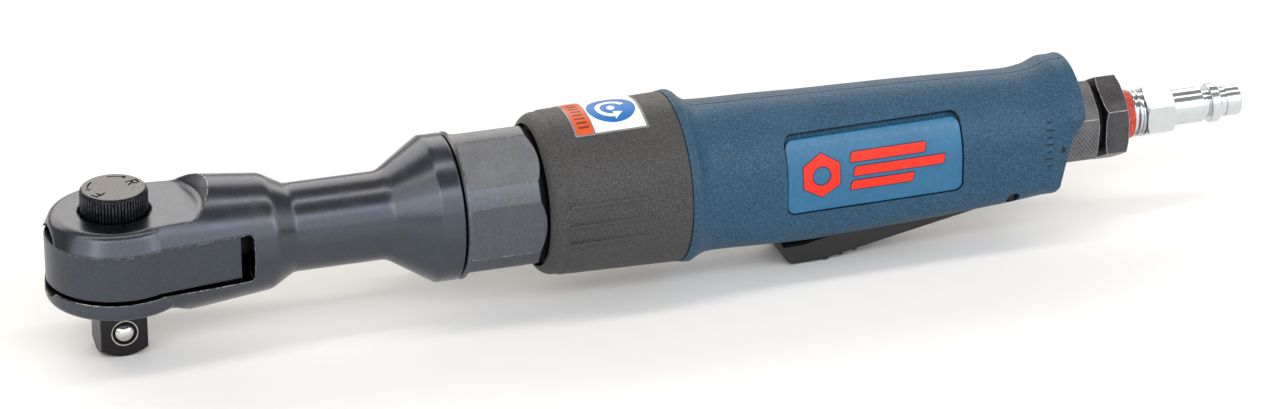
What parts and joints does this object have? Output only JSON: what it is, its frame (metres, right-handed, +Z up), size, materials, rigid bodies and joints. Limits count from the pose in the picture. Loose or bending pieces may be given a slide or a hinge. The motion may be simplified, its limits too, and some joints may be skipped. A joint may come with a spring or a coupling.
{
  "type": "air ratchet",
  "caption": "Inline compressed-air ratchet wrench with a square drive head, reverse knob, squeeze lever, two-shell grip and threaded air inlet with plug.",
  "frame": {"origin": "centre of the square drive's end face", "axes": "+Z up along the drive axis from the square to the reverse knob, +X along the tool from the head to the air plug, lever below, -Y towards the side with the left grip shell"},
  "size_m": [0.338, 0.047, 0.0515],
  "materials": {
    "blued_steel": "blued forging, satin",
    "black_steel": "black oxide",
    "phosphated_steel": "grey phosphate, satin",
    "bright_steel": "ground",
    "spring_steel": "drawn wire",
    "bronze": "machined",
    "cast_plate": "ground",
    "vane_laminate": "fibre laminate",
    "housing_alloy": "as cast and machined",
    "felt": "pressed felt",
    "dark_sleeve": "fine grained moulding",
    "sticker_film": "printed film",
    "blue_grip": "fine grained moulding",
    "label_blue": "semi gloss",
    "black_lever": "satin moulding",
    "black_rubber": "matte",
    "red_sealant": "dried paste",
    "zinc_plate": "bright zinc plate"
  },
  "bodies": {
    "root": {"ratchet_housing": "blued_steel", "neck_bearing": "bright_steel", "crank_bearing": "bright_steel", "thrust_washer": "bright_steel", "anvil_retaining_ring": "spring_steel", "ring_gear": "bright_steel", "clamp_nut": "phosphated_steel", "nut_seal_ring": "black_rubber", "cylinder": "bright_steel", "cylinder_dowel": "bright_steel", "front_end_plate": "cast_plate", "rear_end_plate": "cast_plate", "front_rotor_bearing": "bright_steel", "rear_rotor_bearing": "bright_steel", "motor_housing": "housing_alloy", "exhaust_silencer": "felt", "front_sleeve": "dark_sleeve", "info_sticker": "sticker_film", "grip_left": "blue_grip", "grip_right": "blue_grip", "label_plate_left": "label_blue", "label_plate_right": "label_blue", "lever_pin": "bright_steel", "plunger_bushing": "bronze", "throttle_cap": "bronze", "throttle_spring": "spring_steel", "inlet_bushing": "phosphated_steel", "inlet_screen": "bright_steel", "inlet_washer": "black_rubber", "inlet_adapter": "phosphated_steel", "thread_sealant": "red_sealant", "air_plug": "zinc_plate"},
    "yoke": {"yoke": "blued_steel"},
    "anvil": {"anvil": "black_steel", "pawl_pins": "bright_steel", "drive_ball_ring": "bright_steel", "drive_ball_spring": "spring_steel"},
    "drive_ball": {"drive_ball": "bright_steel"},
    "reverse_knob": {"reverse_knob": "black_steel", "knob_balls": "bright_steel", "knob_spring": "spring_steel"},
    "pawl_front": {"pawl_front": "bright_steel"},
    "pawl_rear": {"pawl_rear": "bright_steel"},
    "crankshaft": {"crankshaft": "bright_steel", "planet_pins": "bright_steel"},
    "drive_bushing": {"drive_bushing": "bronze"},
    "planet_1": {"planet_gear_1": "bright_steel"},
    "planet_2": {"planet_gear_2": "bright_steel"},
    "planet_3": {"planet_gear_3": "bright_steel"},
    "rotor": {"rotor": "bright_steel"},
    "vane_1": {"vane_1": "vane_laminate"},
    "vane_2": {"vane_2": "vane_laminate"},
    "vane_3": {"vane_3": "vane_laminate"},
    "vane_4": {"vane_4": "vane_laminate"},
    "lever": {"lever": "black_lever"},
    "throttle_valve": {"throttle_plunger": "bright_steel", "throttle_poppet": "black_rubber"}
  },
  "joints": [
    {"name": "yoke_swing", "type": "hinge", "parent": "root", "child": "yoke", "pos_m": [0, 0, 0.028], "axis": [0, 0, 1], "range_deg": [-4.85, 4.85]},
    {"name": "anvil_turn", "type": "hinge", "parent": "root", "child": "anvil", "pos_m": [0, 0, 0.028], "axis": [0, 0, 1], "continuous": true},
    {"name": "drive_ball_press", "type": "slide", "parent": "anvil", "child": "drive_ball", "axis": [0, 1, 0], "range_m": [0, 0.0014], "stiffness_N_per_m": 600, "springref_m": -0.0005, "deforming": ["drive_ball_spring"]},
    {"name": "knob_turn", "type": "hinge", "parent": "anvil", "child": "reverse_knob", "pos_m": [0, 0, 0.04], "axis": [0, 0, 1], "range_deg": [-18, 18]},
    {"name": "pawl_front_rock", "type": "hinge", "parent": "anvil", "child": "pawl_front", "pos_m": [-0.0094, 0, 0.028], "axis": [0, 0, 1], "range_deg": [-3, 3]},
    {"name": "pawl_rear_rock", "type": "hinge", "parent": "anvil", "child": "pawl_rear", "pos_m": [0.0094, 0, 0.028], "axis": [0, 0, 1], "range_deg": [-3, 3]},
    {"name": "crank_spin", "type": "hinge", "parent": "root", "child": "crankshaft", "pos_m": [0.06, 0, 0.028], "axis": [1, 0, 0], "continuous": true},
    {"name": "bushing_spin", "type": "hinge", "parent": "crankshaft", "child": "drive_bushing", "pos_m": [0.026, 0, 0.0302], "axis": [1, 0, 0], "continuous": true},
    {"name": "rotor_spin", "type": "hinge", "parent": "root", "child": "rotor", "pos_m": [0.146, 0, 0.028], "axis": [1, 0, 0], "continuous": true},
    {"name": "planet_1_spin", "type": "hinge", "parent": "crankshaft", "child": "planet_1", "pos_m": [0.102, 0, 0.0355], "axis": [1, 0, 0], "continuous": true},
    {"name": "planet_2_spin", "type": "hinge", "parent": "crankshaft", "child": "planet_2", "pos_m": [0.102, -0.0065, 0.02425], "axis": [1, 0, 0], "continuous": true},
    {"name": "planet_3_spin", "type": "hinge", "parent": "crankshaft", "child": "planet_3", "pos_m": [0.102, 0.0065, 0.02425], "axis": [1, 0, 0], "continuous": true},
    {"name": "vane_1_slide", "type": "slide", "parent": "rotor", "child": "vane_1", "axis": [0, 0.7071, 0.7071], "range_m": [0, 0.0008]},
    {"name": "vane_2_slide", "type": "slide", "parent": "rotor", "child": "vane_2", "axis": [0, -0.7071, 0.7071], "range_m": [0, 0.0008]},
    {"name": "vane_3_slide", "type": "slide", "parent": "rotor", "child": "vane_3", "axis": [0, -0.7071, -0.7071], "range_m": [0, 0.0008]},
    {"name": "vane_4_slide", "type": "slide", "parent": "rotor", "child": "vane_4", "axis": [0, 0.7071, -0.7071], "range_m": [0, 0.0008]},
    {"name": "lever_squeeze", "type": "hinge", "parent": "root", "child": "lever", "pos_m": [0.2465, 0, 0.0145], "axis": [0, 1, 0], "range_deg": [0, 4], "stiffness_Nm_per_rad": 40, "springref_deg": -3.44},
    {"name": "throttle_lift", "type": "slide", "parent": "root", "child": "throttle_valve", "axis": [0, 0, 1], "range_m": [0, 0.0012], "deforming": ["throttle_spring"]}
  ],
  "couplings": [
    {"joint": "rotor_spin", "follows": "crank_spin", "ratio": 5},
    {"joint": "planet_1_spin", "follows": "crank_spin", "ratio": -2.6667},
    {"joint": "planet_2_spin", "follows": "crank_spin", "ratio": -2.6667},
    {"joint": "planet_3_spin", "follows": "crank_spin", "ratio": -2.6667},
    {"joint": "pawl_front_rock", "follows": "knob_turn", "ratio": 0.16667},
    {"joint": "pawl_rear_rock", "follows": "knob_turn", "ratio": 0.16667},
    {"joint": "throttle_lift", "follows": "lever_squeeze", "m_per_rad": 0.0145}
  ]
}
